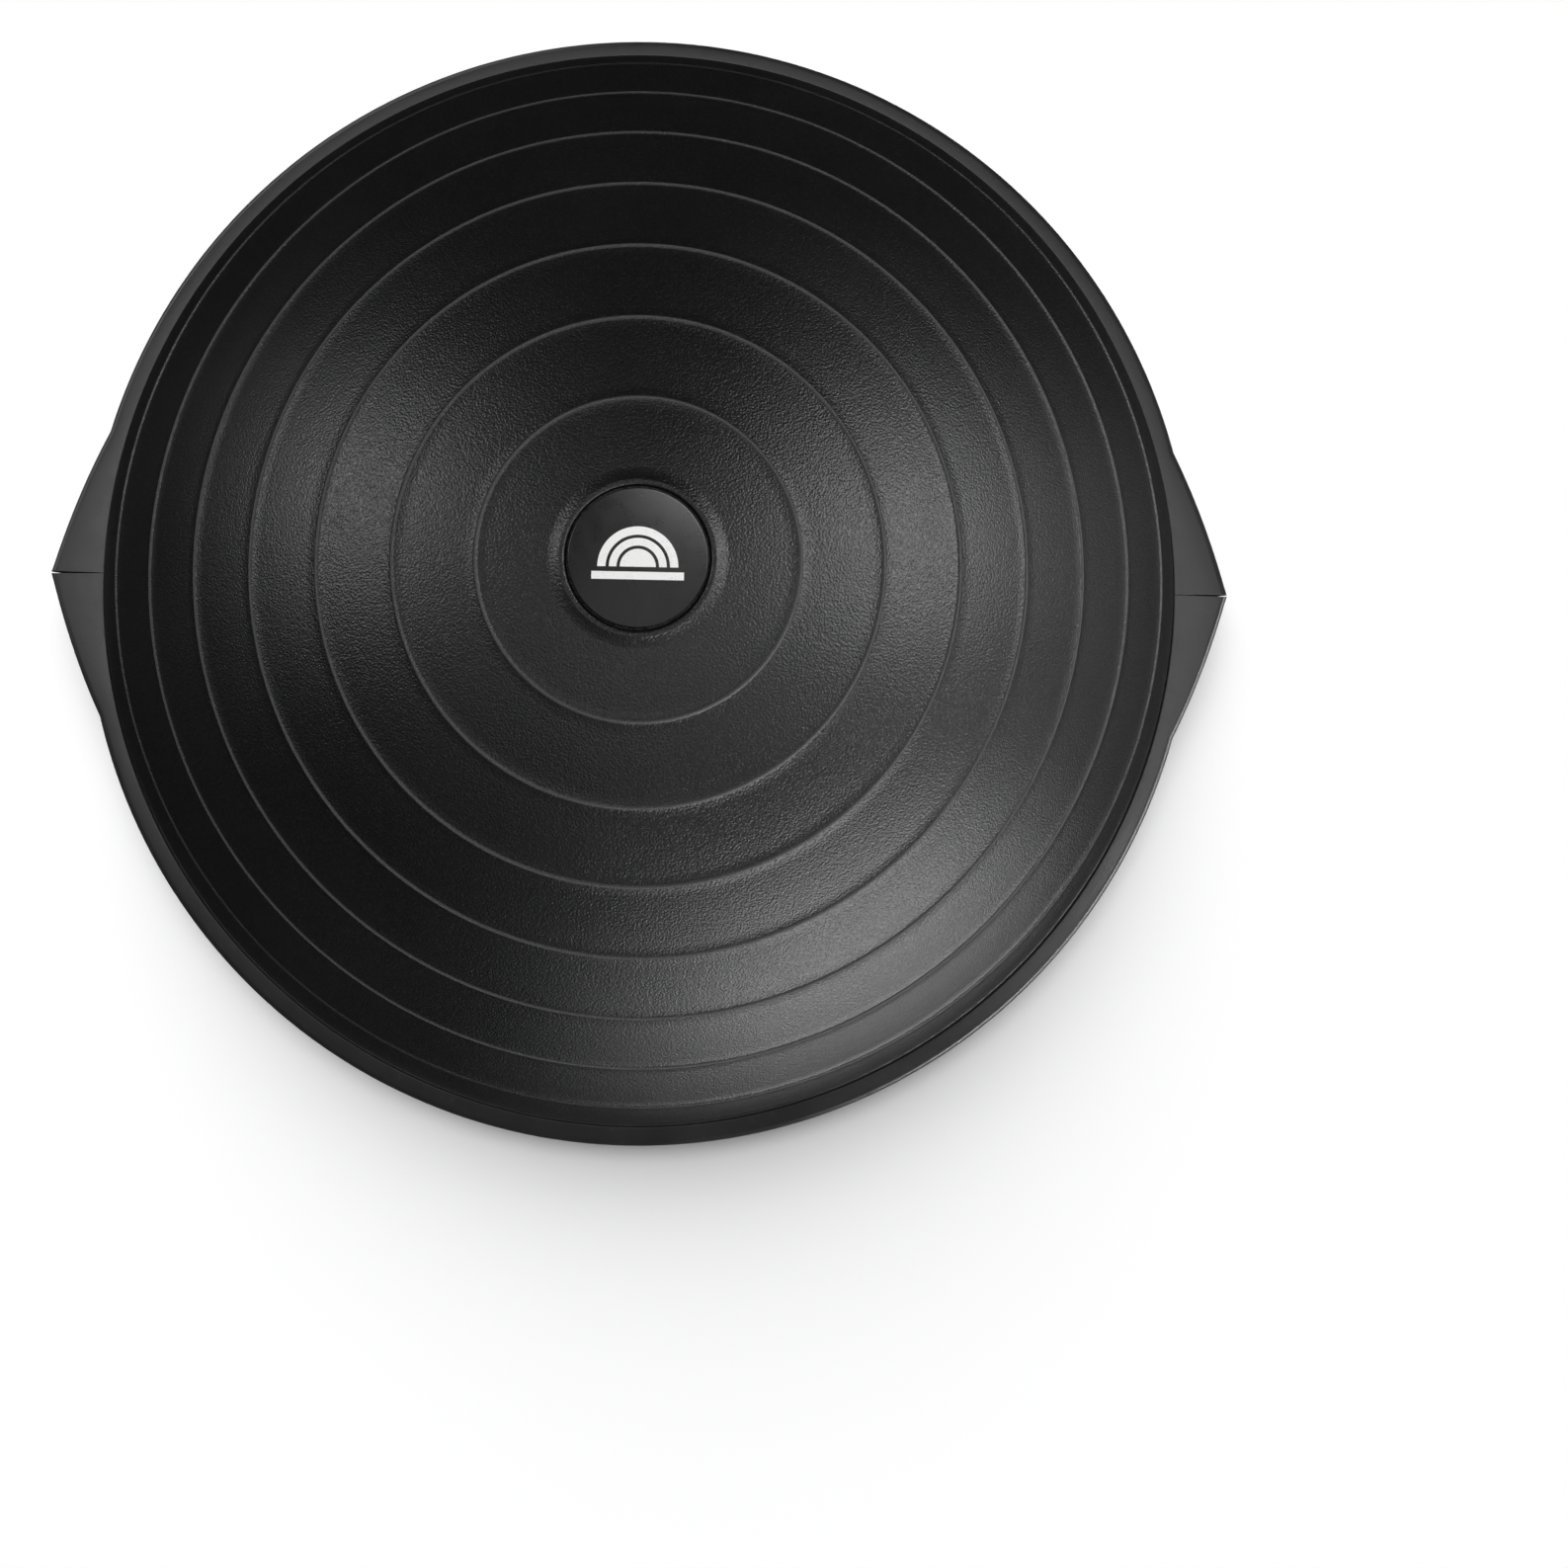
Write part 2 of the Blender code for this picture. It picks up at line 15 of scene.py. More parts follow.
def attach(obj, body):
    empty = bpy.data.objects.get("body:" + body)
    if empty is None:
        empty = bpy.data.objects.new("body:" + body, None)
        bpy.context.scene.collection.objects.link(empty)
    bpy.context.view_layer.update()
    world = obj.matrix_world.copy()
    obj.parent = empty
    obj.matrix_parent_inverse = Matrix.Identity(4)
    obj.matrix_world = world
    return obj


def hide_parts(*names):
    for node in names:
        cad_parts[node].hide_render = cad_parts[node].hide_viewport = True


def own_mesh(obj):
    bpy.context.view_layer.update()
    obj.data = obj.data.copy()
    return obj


GAP = 0.0003
AXIS = 0.000001  # a point nearer to the axis than this lies on it

# Dome
CROWN_HEIGHT = 0.209
CROWN_ARC = 0.3935
SIDE_RADIUS = 0.3064
SIDE_HEIGHT = 0.0255
FOOT_HEIGHT = 0.040
DOME_WALL = 0.0035
NECK_RADIUS = 0.3045
FLANGE_RADIUS = 0.3162
FLANGE_INNER_RADIUS = 0.296
FLANGE_INNER_TOP = 0.019
FLANGE_TOP = 0.0262
FLANGE_BOTTOM = 0.0160
SEAT_RADIUS = 0.0318
SEAT_HEIGHT = CROWN_HEIGHT - 0.0022
SEAT_LIP_RADIUS = 0.0342
SEAT_ROLL_RADIUS = 0.0385  # where the roll round the badge's seat ends
DOME_START = 0.040  # along the surface from the crown, just outside that roll
RING_COUNT = 7
FIRST_RING = 0.0716  # along the surface from the crown
RING_SPACING = 0.0395
RING_HALF_WIDTH = 0.0014
RING_HEIGHT = 0.0008
DOME_STEP = 0.0045  # between the profile's points, away from the rings
DOME_SEGMENTS = 360

# Badge
BADGE_RADIUS = 0.0305
BADGE_THICKNESS = 0.0022
SIGN_RADIUS = 0.0175
SIGN_BASE = -0.004  # the height of the printed dome's flat side, from the badge's middle
SIGN_BAR = -0.0078
SIGN_EDGE = 0.00008  # half the width over which the print's edge fades

# Rim
RIM_RADIUS = 0.325
CHANNEL_RADIUS = 0.317
SHOULDER_RADIUS = 0.3195
EAR_RADIUS = 0.3456
EAR_HALF_ANGLE = math.radians(15)
EAR_BULGE = 0.0022
SEAM = 0.0011  # between the halves at the outside; it closes up towards the dome
TIGHT_SEAM = 0.0002
END_WALL = 0.006
RIM_TOP = 0.0385
RIM_BOTTOM = 0.0008
LIP_RADIUS = 0.3064
SHOULDER_LOW = 0.0275
SHOULDER_RISE = 0.0083
CHANNEL_LOW = 0.0054
CHANNEL_TOP = 0.0265
TOE_RADIUS = 0.296

# Clamps
CLAMP_RADIUS = 0.333
CLAMP_HEIGHT = 0.0165
HEX_RADIUS = 0.0100 / math.sqrt(3)
HEX_FLAT_RADIUS = 0.0047
HEX_CHAMFER = 0.0011
WASHER_THICKNESS = 0.0014
WASHER_HOLE_RADIUS = 0.0034
NUT_BORE_RADIUS = 0.00315

# Pads
PAD_COUNT = 8
PAD_RADIUS = 0.3095
PAD_SIZE = (0.013, 0.034, 0.0023)
PAD_CORNER = 0.004

# Stage
STAGE_RADIUS = 12
FLOOR = -0.0002  # just under the pads
DOME_MIDDLE = 0.1

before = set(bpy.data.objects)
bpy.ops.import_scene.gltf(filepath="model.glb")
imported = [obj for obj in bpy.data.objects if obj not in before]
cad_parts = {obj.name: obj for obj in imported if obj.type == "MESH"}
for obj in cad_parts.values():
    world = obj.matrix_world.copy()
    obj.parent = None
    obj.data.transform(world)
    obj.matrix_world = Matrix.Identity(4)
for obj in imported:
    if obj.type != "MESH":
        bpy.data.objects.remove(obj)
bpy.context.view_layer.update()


# Mesh tools


def rounded(points, radius, closed=False, steps=4):
    """A chain of (radius, height) points with its corners rounded off."""
    made = []
    for index, point in enumerate(points):
        corner = Vector(point)
        if not closed and index in (0, len(points) - 1):
            made.append(corner)
            continue
        before = Vector(points[index - 1]) - corner
        after = Vector(points[(index + 1) % len(points)]) - corner
        half = before.angle(after) / 2
        if half > math.radians(88):
            made.append(corner)
            continue
        cut = min(radius / math.tan(half), 0.45 * before.length, 0.45 * after.length)
        start, end = corner + before.normalized() * cut, corner + after.normalized() * cut
        for step in range(steps + 1):
            t = step / steps
            made.append(start * (1 - t) ** 2 + corner * 2 * t * (1 - t) + end * t**2)
    return made


def object_from(bm, name):
    bmesh.ops.recalc_face_normals(bm, faces=bm.faces)
    mesh = bpy.data.meshes.new(name)
    bm.to_mesh(mesh)
    bm.free()
    obj = bpy.data.objects.new(name, mesh)
    bpy.context.scene.collection.objects.link(obj)
    return obj


def turned_mesh(points, angles, closed=False, full=True):
    """Turns (radius, height) points through a list of angles."""
    bm = bmesh.new()
    rings = []
    for radius, height in points:
        if radius < AXIS:
            rings.append([bm.verts.new((0, 0, height))])
        else:
            around = [(radius * math.cos(angle), radius * math.sin(angle), height) for angle in angles]
            rings.append([bm.verts.new(place) for place in around])
    pairs = list(zip(rings, rings[1:]))
    if closed:
        pairs.append((rings[-1], rings[0]))
    for upper, lower in pairs:
        for index in range(len(angles) if full else len(angles) - 1):
            after = (index + 1) % len(angles)
            corners = [upper[index % len(upper)], upper[after % len(upper)]]
            corners += [lower[after % len(lower)], lower[index % len(lower)]]
            bm.faces.new(list(dict.fromkeys(corners)))
    return bm


def lathe(name, points, segments, closed=False):
    angles = [math.tau * index / segments for index in range(segments)]
    return object_from(turned_mesh(points, angles, closed), name)


def rounded_box(name, size, corner, edge, place):
    """A box with its upright edges rounded by corner and the others by edge."""
    bm = bmesh.new()
    bmesh.ops.create_cube(bm, size=1, matrix=Matrix.Diagonal((*size, 1)))
    upright = [e for e in bm.edges if abs(e.verts[0].co.z - e.verts[1].co.z) > size[2] / 2]
    bmesh.ops.bevel(bm, geom=upright, offset=corner, segments=6, profile=0.5, affect="EDGES")
    if edge:
        flat = [e for e in bm.edges if abs(e.verts[0].co.z - e.verts[1].co.z) < size[2] / 2]
        bmesh.ops.bevel(bm, geom=flat, offset=edge, segments=3, profile=0.5, affect="EDGES")
    bmesh.ops.transform(bm, matrix=place, verts=bm.verts)
    return object_from(bm, name)


def combine(obj, tools, operation):
    """Joins obj with the tools or cuts them from it, and keeps the result as obj's mesh."""
    for tool in tools:
        modifier = obj.modifiers.new(tool.name, "BOOLEAN")
        modifier.operation = operation
        modifier.object = tool
        modifier.solver = "EXACT"
    evaluated = obj.evaluated_get(bpy.context.evaluated_depsgraph_get())
    mesh = bpy.data.meshes.new_from_object(evaluated)
    obj.modifiers.clear()
    obj.data = mesh
    for tool in tools:
        bpy.data.objects.remove(tool)


def finish_mesh(obj, sharp=35):
    for face in obj.data.polygons:
        face.use_smooth = True
    obj.data.set_sharp_from_angle(angle=math.radians(sharp))


def place_piece(obj, surface, slot, body, *nodes, sharp=35):
    finish_mesh(obj, sharp)
    obj.data.materials.clear()
    obj.data.materials.append(surface)
    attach(obj, body)
    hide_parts(*nodes)
    return obj


# Materials


class Surface:
    """A Principled material in the making, with textures laid out in metres."""

    def __init__(self, name, colour, roughness, metallic=0.0, specular=0.5):
        self.material = bpy.data.materials.new(name)
        self.material.use_nodes = True
        self.nodes = self.material.node_tree.nodes
        self.links = self.material.node_tree.links
        self.shader = self.nodes["Principled BSDF"]
        self.shader.inputs["Base Color"].default_value = (*colour, 1)
        self.shader.inputs["Roughness"].default_value = roughness
        self.shader.inputs["Metallic"].default_value = metallic
        self.shader.inputs["Specular IOR Level"].default_value = specular
        self.place = self.nodes.new("ShaderNodeTexCoord").outputs["Object"]
        self.height = None

    def join(self, value, socket):
        if isinstance(value, bpy.types.NodeSocket):
            self.links.new(value, socket)
        else:
            socket.default_value = value

    def noise(self, scale, detail=2.0, stretch=None):
        made = self.nodes.new("ShaderNodeTexNoise")
        made.inputs["Scale"].default_value = scale
        made.inputs["Detail"].default_value = detail
        self.join(self.stretched(stretch) if stretch else self.place, made.inputs["Vector"])
        return made.outputs["Fac"]

    def stretched(self, amounts):
        made = self.nodes.new("ShaderNodeMapping")
        made.inputs["Scale"].default_value = amounts
        self.join(self.place, made.inputs["Vector"])
        return made.outputs["Vector"]

    def cells(self, scale):
        made = self.nodes.new("ShaderNodeTexVoronoi")
        made.inputs["Scale"].default_value = scale
        self.join(self.place, made.inputs["Vector"])
        return made.outputs["Distance"]

    def spread(self, value, low, high, to_low=0.0, to_high=1.0):
        made = self.nodes.new("ShaderNodeMapRange")
        self.join(value, made.inputs["Value"])
        limits = {"From Min": low, "From Max": high, "To Min": to_low, "To Max": to_high}
        for name, amount in limits.items():
            made.inputs[name].default_value = amount
        return made.outputs["Result"]

    def math(self, operation, first, second):
        made = self.nodes.new("ShaderNodeMath")
        made.operation = operation
        self.join(first, made.inputs[0])
        self.join(second, made.inputs[1])
        return made.outputs["Value"]

    def blend(self, amount, first, second):
        made = self.nodes.new("ShaderNodeMix")
        made.data_type = "RGBA"
        self.join(amount, made.inputs["Factor"])
        for value, socket in ((first, made.inputs["A"]), (second, made.inputs["B"])):
            self.join((*value, 1) if isinstance(value, tuple) else value, socket)
        return made.outputs["Result"]

    def attribute(self, name):
        made = self.nodes.new("ShaderNodeAttribute")
        made.attribute_name = name
        return made.outputs["Fac"]

    def colour(self, value):
        self.join(value, self.shader.inputs["Base Color"])

    def roughness(self, value):
        self.join(value, self.shader.inputs["Roughness"])

    def bump(self, height, depth, strength=1.0):
        """Adds a bump of that depth in metres over the ones before it."""
        made = self.nodes.new("ShaderNodeBump")
        made.inputs["Strength"].default_value = strength
        made.inputs["Distance"].default_value = depth
        self.join(height, made.inputs["Height"])
        if self.height is not None:
            self.join(self.height, made.inputs["Normal"])
        self.height = made.outputs["Normal"]
        self.join(self.height, self.shader.inputs["Normal"])

    def soft_edges(self, radius):
        """Rounds sharp edges in the shading; returns where they are, 0 on the flat and 1 on an edge."""
        bevel = self.nodes.new("ShaderNodeBevel")
        bevel.samples = 4
        bevel.inputs["Radius"].default_value = radius
        self.height = bevel.outputs["Normal"]
        plain = self.nodes.new("ShaderNodeNewGeometry")
        dot = self.nodes.new("ShaderNodeVectorMath")
        dot.operation = "DOT_PRODUCT"
        self.join(self.height, dot.inputs[0])
        self.join(plain.outputs["Normal"], dot.inputs[1])
        return self.spread(dot.outputs["Value"], 1.0, 0.85)


def dome_surface():
    made = Surface("dome_pvc", (0.010, 0.010, 0.0105), 0.47, specular=1.0)
    patches = made.noise(9, 3)
    pebbles = made.cells(900)
    sparkle = made.noise(1050, 1)
    ring = made.attribute("ring")
    base = made.blend(made.spread(patches, 0.35, 0.65), (0.0040, 0.0040, 0.0042), (0.0062, 0.0062, 0.0065))
    speckled = made.blend(made.spread(sparkle, 0.52, 0.72), base, (0.030, 0.030, 0.031))
    made.colour(made.blend(ring, speckled, (0.095, 0.095, 0.098)))
    dull = made.spread(patches, 0.3, 0.7, 0.37, 0.43)
    glints = made.math("ADD", dull, made.spread(sparkle, 0.3, 0.7, 0.06, -0.06))
    made.roughness(made.math("ADD", glints, made.math("MULTIPLY", ring, 0.3)))
    made.bump(made.noise(60, 2), 0.0008, 0.06)
    made.bump(made.spread(pebbles, 0.0, 0.8, 1.0, 0.0), 0.0003, 0.45)
    made.bump(sparkle, 0.0003, 0.55)
    return made.material


def badge_surface():
    made = Surface("badge_print", (0.006, 0.006, 0.0065), 0.30)
    split = made.nodes.new("ShaderNodeSeparateXYZ")
    made.join(made.place, split.inputs["Vector"])
    across, along = split.outputs["X"], split.outputs["Y"]

    def inside(value, limit):
        return made.spread(value, limit + SIGN_EDGE, limit - SIGN_EDGE)

    def distance(x, y):
        offset_x = made.math("SUBTRACT", across, x)
        offset_y = made.math("SUBTRACT", along, y)
        squares = made.math("ADD", made.math("POWER", offset_x, 2), made.math("POWER", offset_y, 2))
        return made.math("SQRT", squares, 0.0)

    above = made.spread(along, SIGN_BASE - SIGN_EDGE, SIGN_BASE + SIGN_EDGE)
    from_middle = distance(0.0, SIGN_BASE)
    bow = made.math("MULTIPLY", inside(from_middle, SIGN_RADIUS), above)
    for radius in (0.0085, 0.0132):
        gap = made.math("ABSOLUTE", made.math("SUBTRACT", from_middle, radius), 0.0)
        bow = made.math("MULTIPLY", bow, made.math("SUBTRACT", 1.0, inside(gap, 0.0007)))
    level = made.math("ABSOLUTE", made.math("SUBTRACT", along, SIGN_BAR), 0.0)
    reach = made.math("ABSOLUTE", across, 0.0)
    bar = made.math("MULTIPLY", inside(level, 0.0017), inside(reach, 0.0200))
    sign = made.math("MAXIMUM", bow, bar)
    worn = made.math("MULTIPLY", sign, made.spread(made.noise(1500, 3), 0.24, 0.34))
    scuffs = made.noise(120, 4)
    black = made.blend(made.spread(scuffs, 0.5, 0.8), (0.005, 0.005, 0.0055), (0.009, 0.009, 0.0095))
    made.colour(made.blend(worn, black, (0.86, 0.86, 0.85)))
    made.roughness(made.spread(scuffs, 0.3, 0.7, 0.25, 0.32))
    made.bump(made.noise(1800, 2), 0.0001, 0.3)
    made.bump(sign, 0.00005, 0.6)
    return made.material


def moulded_surface(name, dark, light, roughness, texture_scale, edge=0.0005):
    """Injection-moulded plastic: a fine even texture, flow patches and rubbed edges."""
    made = Surface(name, dark, roughness)
    edges = made.soft_edges(edge)
    patches = made.noise(22, 4)
    texture = made.noise(texture_scale, 2)
    scuffs = made.noise(260, 5, (1.0, 1.0, 0.3))
    base = made.blend(made.spread(patches, 0.3, 0.7), dark, light)
    marked = made.blend(made.spread(scuffs, 0.60, 0.80, 0.0, 0.35), base, tuple(2.2 * c for c in light))
    worn = made.math("MULTIPLY", edges, made.spread(made.noise(90, 3), 0.3, 0.6, 0.2, 0.9))
    made.colour(made.blend(worn, marked, tuple(1.35 * c for c in light)))
    even = made.spread(patches, 0.3, 0.7, roughness - 0.04, roughness + 0.05)
    made.roughness(made.math("ADD", even, made.spread(scuffs, 0.5, 0.8, 0.0, 0.08)))
    made.bump(texture, 0.00012, 0.35)
    made.bump(made.noise(14, 2), 0.0012, 0.05)
    return made.material


def rubber_surface(name, shade, roughness, cell_scale, depth):
    """Moulded rubber with a small dimple pattern, painted shade in the dimples' hollows, and patches of
    dust.
    """
    made = Surface(name, (shade, shade, shade), roughness, specular=0.4)
    cells = made.cells(cell_scale)
    dust = made.noise(45, 4)
    # painted shade: the colour follows the dimples, darker in their hollows and lighter on the ground
    # between them
    base = made.blend(made.spread(cells, 0.1, 0.7), (0.6 * shade,) * 3, (1.3 * shade,) * 3)
    dusty = (2.6 * shade, 2.5 * shade, 2.4 * shade)
    made.colour(made.blend(made.spread(dust, 0.5, 0.75, 0.0, 0.5), base, dusty))
    made.roughness(made.spread(dust, 0.3, 0.7, roughness - 0.08, roughness + 0.06))
    made.bump(cells, depth, 0.8)
    made.bump(made.noise(1600, 2), 0.0001, 0.3)
    return made.material


def steel_surface():
    made = Surface("zinc_plating", (0.58, 0.58, 0.57), 0.30, 1.0)
    edges = made.soft_edges(0.0003)
    clouds = made.noise(320, 4)
    drawn = made.noise(900, 3, (1.0, 0.12, 1.0))
    base = made.blend(made.spread(clouds, 0.35, 0.7), (0.46, 0.47, 0.48), (0.64, 0.62, 0.57))
    made.colour(made.blend(made.math("MULTIPLY", edges, 0.6), base, (0.80, 0.80, 0.79)))
    made.roughness(made.spread(drawn, 0.3, 0.7, 0.22, 0.42))
    made.bump(drawn, 0.00006, 0.4)
    return made.material


# Dome and badge


def dome_arc():
    """The side arc's radius, its centre's distance from the axis, and where it takes over."""
    rise = CROWN_HEIGHT - SIDE_HEIGHT
    side = (CROWN_ARC**2 - (CROWN_ARC - rise) ** 2 - SIDE_RADIUS**2) / (2 * (CROWN_ARC - SIDE_RADIUS))
    centre = SIDE_RADIUS - side
    return side, centre, math.atan2(centre, CROWN_ARC - rise)


def dome_point(length, proud=0.0):
    """The point that lies that far along the surface from the crown, standing proud of it."""
    side, centre, turn = dome_arc()
    if length < CROWN_ARC * turn:
        angle = length / CROWN_ARC
        reach = CROWN_ARC + proud
        return reach * math.sin(angle), CROWN_HEIGHT - CROWN_ARC + reach * math.cos(angle)
    angle = turn + (length - CROWN_ARC * turn) / side
    reach = side + proud
    return centre + reach * math.sin(angle), SIDE_HEIGHT + reach * math.cos(angle)


def foot_length():
    side, centre, turn = dome_arc()
    return CROWN_ARC * turn + side * (math.acos((FOOT_HEIGHT - SIDE_HEIGHT) / side) - turn)


def ring_lift(length):
    """How much of a ring's full height there is, that far along the surface."""
    nearest = round((length - FIRST_RING) / RING_SPACING)
    ring = FIRST_RING + RING_SPACING * min(max(nearest, 0), RING_COUNT - 1)
    away = abs(length - ring) / RING_HALF_WIDTH
    return 0.5 + 0.5 * math.cos(math.pi * away) if away < 1 else 0.0


def dome_lengths():
    """Where the dome's profile has its points: close together on the rings, wider between."""
    lengths = []
    rings = [FIRST_RING + RING_SPACING * index for index in range(RING_COUNT)]
    stops = [DOME_START, *rings, foot_length()]
    for index, (low, high) in enumerate(zip(stops, stops[1:])):
        start = low if index == 0 else low + RING_HALF_WIDTH
        end = high if index == RING_COUNT else high - RING_HALF_WIDTH
        count = max(1, round((end - start) / DOME_STEP))
        lengths += [start + (end - start) * step / count for step in range(count + 1)]
        if index < RING_COUNT:
            lengths += [high + RING_HALF_WIDTH * step / 4 for step in range(-3, 4)]
    return lengths


def make_dome():
    lip = CROWN_HEIGHT + 0.0006
    seat = [(0, SEAT_HEIGHT), (SEAT_RADIUS, SEAT_HEIGHT), (SEAT_RADIUS, lip), (SEAT_LIP_RADIUS, lip)]
    seat += [(SEAT_ROLL_RADIUS, dome_point(0.0386)[1])]
    outer = [tuple(point) for point in rounded(seat, 0.0011)]
    lifts = [0.0] * len(outer)
    for length in dome_lengths():
        lifts.append(ring_lift(length))
        outer.append(dome_point(length, RING_HEIGHT * lifts[-1]))
        if length > FIRST_RING + RING_SPACING * (RING_COUNT - 1.5):
            lifts[-1] *= 0.3  # the lowest ring is less rubbed than the others
    neck = NECK_RADIUS - DOME_WALL
    flange = [(NECK_RADIUS, 0.0352), (NECK_RADIUS, FLANGE_TOP), (FLANGE_RADIUS, FLANGE_TOP)]
    flange += [(FLANGE_RADIUS, FLANGE_BOTTOM), (FLANGE_INNER_RADIUS, FLANGE_BOTTOM)]
    flange += [(FLANGE_INNER_RADIUS, FLANGE_INNER_TOP), (neck, FLANGE_INNER_TOP)]
    inner = [dome_point(length, -DOME_WALL) for length in (0.37, 0.33, 0.28, 0.22, 0.15, 0.08)]
    inner += [(0, SEAT_HEIGHT - DOME_WALL)]
    points = outer + flange + inner
    lifts += [0.0] * (len(flange) + len(inner))
    dome = lathe("dome_skin", points, DOME_SEGMENTS)
    layer = dome.data.attributes.new("ring", "FLOAT", "POINT")
    values = []
    for (radius, _), lift in zip(points, lifts):
        values += [lift] * (1 if radius < AXIS else DOME_SEGMENTS)
    layer.data.foreach_set("value", values)
    return dome


def make_badge():
    low = SEAT_HEIGHT + GAP
    top = low + BADGE_THICKNESS
    points = [(0, top), (BADGE_RADIUS, top - 0.0002), (BADGE_RADIUS, low), (0, low)]
    return lathe("badge_disc", rounded(points, 0.0008), 180)


# Rim


def rim_section():
    """The half rim's section, with moulded roundings."""
    lip = [(LIP_RADIUS, RIM_TOP), (0.3098, 0.0384), (0.3101, 0.0350), (0.3116, 0.0350)]
    lip += [(0.3120, 0.0362), (SHOULDER_RADIUS, SHOULDER_LOW + SHOULDER_RISE)]
    shoulder = []
    for step in range(1, 13):
        turn = math.pi / 2 * step / 12
        radius = SHOULDER_RADIUS + (RIM_RADIUS - SHOULDER_RADIUS) * math.sin(turn)
        shoulder.append((radius, SHOULDER_LOW + SHOULDER_RISE * math.cos(turn)))
    toe = [(RIM_RADIUS, 0.0200), (RIM_RADIUS, 0.0120), (RIM_RADIUS, RIM_BOTTOM)]
    under = [(TOE_RADIUS, RIM_BOTTOM), (TOE_RADIUS, CHANNEL_LOW), (CHANNEL_RADIUS, CHANNEL_LOW)]
    under += [(CHANNEL_RADIUS, CHANNEL_TOP), (LIP_RADIUS, CHANNEL_TOP)]
    upper = rounded(lip, 0.0007, steps=3)
    upper[0:1] = rounded([(LIP_RADIUS, CHANNEL_TOP), *lip[:2]], 0.0012, steps=5)[1:-1]
    lower = rounded([toe[1], toe[2], under[0]], 0.0021, steps=6)
    return [tuple(p) for p in upper] + shoulder + toe[:1] + [tuple(p) for p in lower[:-1]] + under


def ear_reach(angle):
    """How far an ear stands out past the round rim, at an angle from its apex."""
    if angle >= EAR_HALF_ANGLE:
        return 0.0
    apex = Vector((EAR_RADIUS, 0))
    root = RIM_RADIUS * Vector((math.cos(EAR_HALF_ANGLE), math.sin(EAR_HALF_ANGLE)))
    along = (root - apex).normalized()
    normal = Vector((along.y, -along.x))
    chord = apex.dot(normal) / math.cos(angle - math.atan2(normal.y, normal.x))
    bulge = EAR_BULGE * (1 - (2 * angle / EAR_HALF_ANGLE - 1) ** 2)
    return chord + bulge - RIM_RADIUS


def half_angles():
    """From one seam to the other, closer together on the ears."""
    ear = [math.radians(0.75 * step) for step in range(25)]
    middle = [math.radians(18 + 1.5 * step) for step in range(1, 96)]
    return ear + middle + [math.pi - angle for angle in reversed(ear)]


def half_body(name):
    """The +Y half rim before its recesses are cut."""
    bm = turned_mesh(rim_section(), half_angles(), closed=True, full=False)
    ends = [edge for edge in bm.edges if edge.is_boundary]
    caps = bmesh.ops.holes_fill(bm, edges=ends, sides=0)["faces"]
    bmesh.ops.triangulate(bm, faces=caps)
    for vert in bm.verts:
        radius = math.hypot(vert.co.x, vert.co.y)
        outside = radius > (CHANNEL_RADIUS + SHOULDER_RADIUS) / 2
        if outside:
            stretch = 1 + ear_reach(math.atan2(vert.co.y, abs(vert.co.x))) / RIM_RADIUS
            vert.co.x *= stretch
            vert.co.y *= stretch
        if abs(vert.co.y) < 0.0001:
            vert.co.y = (SEAM if outside else TIGHT_SEAM) / 2
    return object_from(bm, name)


def recess(side):
    """Half an ellipsoid along an ear's face, cut off at the end wall."""
    apex = Vector((EAR_RADIUS, 0))
    root = RIM_RADIUS * Vector((math.cos(EAR_HALF_ANGLE), math.sin(EAR_HALF_ANGLE)))
    along = (root - apex).normalized()
    start = apex + along * (END_WALL / along.y)
    place = Matrix.Translation((start.x, start.y, 0.0162))
    place @= Matrix.Rotation(math.atan2(along.y, along.x), 4, "Z") @ Matrix.Rotation(math.pi / 2, 4, "Y")
    place @= Matrix.Diagonal((0.0122, 0.0125, 0.080, 1))
    bm = bmesh.new()
    bmesh.ops.create_uvsphere(bm, u_segments=96, v_segments=64, radius=1, matrix=place)
    everything = bm.verts[:] + bm.edges[:] + bm.faces[:]
    wall = {"plane_co": (0, END_WALL, 0), "plane_no": (0, 1, 0)}
    bmesh.ops.bisect_plane(bm, geom=everything, clear_inner=True, **wall)
    bmesh.ops.holes_fill(bm, edges=[edge for edge in bm.edges if edge.is_boundary], sides=0)
    bmesh.ops.scale(bm, verts=bm.verts, vec=(side, 1, 1))
    return object_from(bm, "recess_tool")


def well(side):
    """The deeper square pocket around the bolt, its corners rounded."""
    depth, width, height = 0.0331, 0.020, 0.0226
    place = Matrix.Translation((side * (0.3225 + depth / 2), END_WALL + width / 2, 0.0161))
    place @= Matrix.Rotation(math.pi / 2, 4, "Y")
    return rounded_box("well_tool", (height, width, depth), 0.0012, 0, place)


def pad_place(index):
    angle = math.tau * (index + 0.5) / PAD_COUNT
    return Matrix.Rotation(angle, 4, "Z") @ Matrix.Translation((PAD_RADIUS, 0, 0))


def pad_pocket(index, turn):
    width, length, height = PAD_SIZE
    below = 0.002
    size = (width + 2 * GAP, length + 2 * GAP, height + GAP + below)
    place = Matrix.Rotation(-turn, 4, "Z") @ pad_place(index)
    place @= Matrix.Translation((0, 0, size[2] / 2 - below))
    return rounded_box("pocket_tool", size, PAD_CORNER, 0, place)


def bolt_hole(side):
    radius, reach = 0.0034, 0.01
    hole = lathe("hole_tool", [(0, reach), (radius, reach), (radius, -reach), (0, -reach)], 48)
    place = Matrix.Translation((side * CLAMP_RADIUS, 0, CLAMP_HEIGHT))
    place @= Matrix.Rotation(-math.pi / 2, 4, "X")
    hole.data.transform(place)
    return hole


